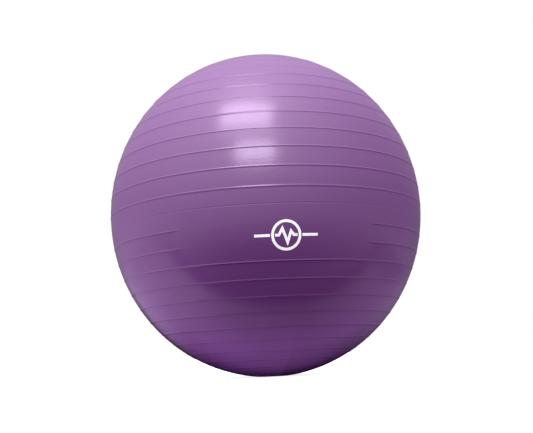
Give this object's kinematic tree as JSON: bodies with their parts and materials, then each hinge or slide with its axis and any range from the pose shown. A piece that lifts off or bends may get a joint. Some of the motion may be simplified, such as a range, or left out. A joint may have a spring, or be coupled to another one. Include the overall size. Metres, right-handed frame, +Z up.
{
  "type": "exercise ball",
  "caption": "Inflated exercise ball with raised ribs all round, a smooth window with a plain print, and an air valve closed by a plug that pulls out.",
  "frame": {"origin": "centre of the small flat that the ball rests on", "axes": "+Z up along the axis that the ribs ring, -Y out of the front at the printed mark, +Y out of the back along the valve"},
  "size_m": [0.6372, 0.6371, 0.6623],
  "materials": {
    "skin_vinyl": "satin",
    "seat_vinyl": "satin",
    "plug_plastic": "satin",
    "print_ink": "satin"
  },
  "bodies": {
    "ball": {"skin": "skin_vinyl", "valve_seat": "seat_vinyl", "printed_mark": "print_ink"},
    "plug": {"valve_plug": "plug_plastic"}
  },
  "joints": [
    {"name": "plug_pull", "type": "slide", "parent": "ball", "child": "plug", "axis": [0, 1, 0], "range_m": [0, 0.034]}
  ]
}
